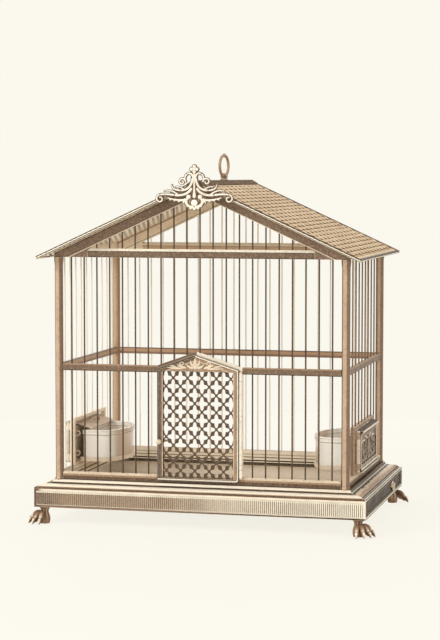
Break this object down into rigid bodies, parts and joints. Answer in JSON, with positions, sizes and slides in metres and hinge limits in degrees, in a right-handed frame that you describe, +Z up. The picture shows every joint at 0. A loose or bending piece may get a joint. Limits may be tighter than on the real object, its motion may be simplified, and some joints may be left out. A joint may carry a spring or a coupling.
{
  "type": "bird cage",
  "caption": "House-shaped brass bird cage with gabled roof, pierced front door, swing-out feeders at both ends, sliding sand tray, claw feet and carrying ring.",
  "frame": {"origin": "on the floor, under the centre of the cage", "axes": "+X to the right along the front, towards the sand tray's pull; -Y out of the front door; +Z up"},
  "size_m": [0.372, 0.258, 0.3861],
  "materials": {
    "base_brass": "satin",
    "reeds": "satin",
    "zinc": "matte",
    "feet": "satin",
    "posts": "satin",
    "rails": "satin",
    "wires": "satin",
    "roof": "satin",
    "ridge": "satin",
    "crest": "satin",
    "ring": "gloss",
    "door": "satin",
    "grille": "satin",
    "pins": "gloss",
    "feeders": "satin",
    "cups": "gloss",
    "tray_front": "satin",
    "tray_pull": "satin"
  },
  "bodies": {
    "cage": {"plinth_front": "base_brass", "plinth_back": "base_brass", "plinth_left": "base_brass", "plinth_right": "base_brass", "reeded_bands": "reeds", "base_plate": "zinc", "foot_front_left": "feet", "foot_front_right": "feet", "foot_back_left": "feet", "foot_back_right": "feet", "foot_nuts": "feet", "post_front_left": "posts", "post_front_right": "posts", "post_back_left": "posts", "post_back_right": "posts", "bottom_rail_front": "rails", "bottom_rail_back": "rails", "bottom_rail_left": "rails", "bottom_rail_right": "rails", "mid_rail_front": "rails", "mid_rail_back": "rails", "mid_rail_left": "rails", "mid_rail_right": "rails", "tie_beam_front": "rails", "tie_beam_back": "rails", "eave_rail_left": "rails", "eave_rail_right": "rails", "rafters_front": "rails", "rafters_back": "rails", "wires_front": "wires", "wires_back": "wires", "wires_left": "wires", "wires_right": "wires", "roof_left": "roof", "roof_right": "roof", "ridge_cap": "ridge", "gable_crest": "crest", "ring_saddle": "ring", "door_surround": "door", "door_hinge_pin": "pins", "feeder_pin_left": "pins", "feeder_pin_right": "pins", "feeder_frame_left": "feeders", "feeder_frame_right": "feeders"},
    "front_door": {"door_frame": "door", "door_grille": "grille"},
    "door_latch": {"door_latch": "pins"},
    "left_feeder": {"feeder_flap_left": "feeders", "cup_holder_left": "feeders", "seed_guard_left": "feeders", "feeder_cup_left": "cups"},
    "right_feeder": {"feeder_flap_right": "feeders", "cup_holder_right": "feeders", "seed_guard_right": "feeders", "feeder_cup_right": "cups"},
    "sand_tray": {"tray_pan": "zinc", "tray_front": "tray_front", "tray_pull": "tray_pull"},
    "carrying_ring": {"carrying_ring": "ring"}
  },
  "joints": [
    {"name": "door_hinge", "type": "hinge", "parent": "cage", "child": "front_door", "pos_m": [0.044, -0.1066, 0.1], "axis": [0, 0, 1], "range_deg": [0, 110]},
    {"name": "latch_turn", "type": "hinge", "parent": "front_door", "child": "door_latch", "pos_m": [-0.0414, -0.1066, 0.0895], "axis": [0, 1, 0], "range_deg": [-90, 0]},
    {"name": "left_feeder_hinge", "type": "hinge", "parent": "cage", "child": "left_feeder", "pos_m": [-0.1565, -0.058, 0.075], "axis": [0, 0, 1], "range_deg": [0, 100]},
    {"name": "right_feeder_hinge", "type": "hinge", "parent": "cage", "child": "right_feeder", "pos_m": [0.1565, -0.058, 0.075], "axis": [0, 0, -1], "range_deg": [0, 100]},
    {"name": "tray_slide", "type": "slide", "parent": "cage", "child": "sand_tray", "axis": [1, 0, 0], "range_m": [0, 0.26]},
    {"name": "ring_swing", "type": "hinge", "parent": "cage", "child": "carrying_ring", "pos_m": [0, 0, 0.3615], "axis": [0.1736, 0.9848, 0], "range_deg": [-60, 60]}
  ]
}
